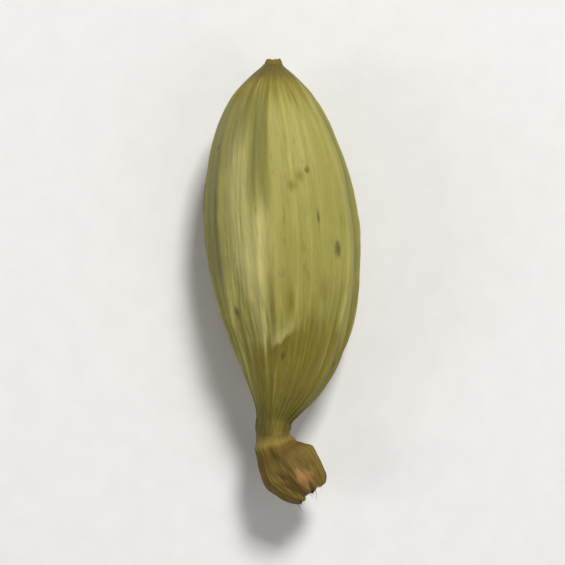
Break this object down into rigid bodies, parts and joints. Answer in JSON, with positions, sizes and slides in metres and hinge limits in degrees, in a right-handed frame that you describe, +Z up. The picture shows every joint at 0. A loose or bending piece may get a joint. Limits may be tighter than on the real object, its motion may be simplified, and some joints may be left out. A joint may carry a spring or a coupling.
{
  "type": "green cardamom pod",
  "caption": "Dried three-lobed green cardamom pod with lengthwise ribs, a stalk scar at its base and a hooked flower remnant at its neck.",
  "frame": {"origin": "middle of the pod's outline seen from above, on the surface that it lies on", "axes": "+X along the pod from its stalk end to its flower end, +Y across it, +Z up from the flat spot that it rests on"},
  "size_m": [0.0178, 0.0062, 0.0053],
  "materials": {
    "pod_skin": "matt, dry and fibrous, pale olive green with straw-coloured ribs and brown ends"
  },
  "bodies": {
    "root": {"pod": "pod_skin"}
  },
  "joints": []
}
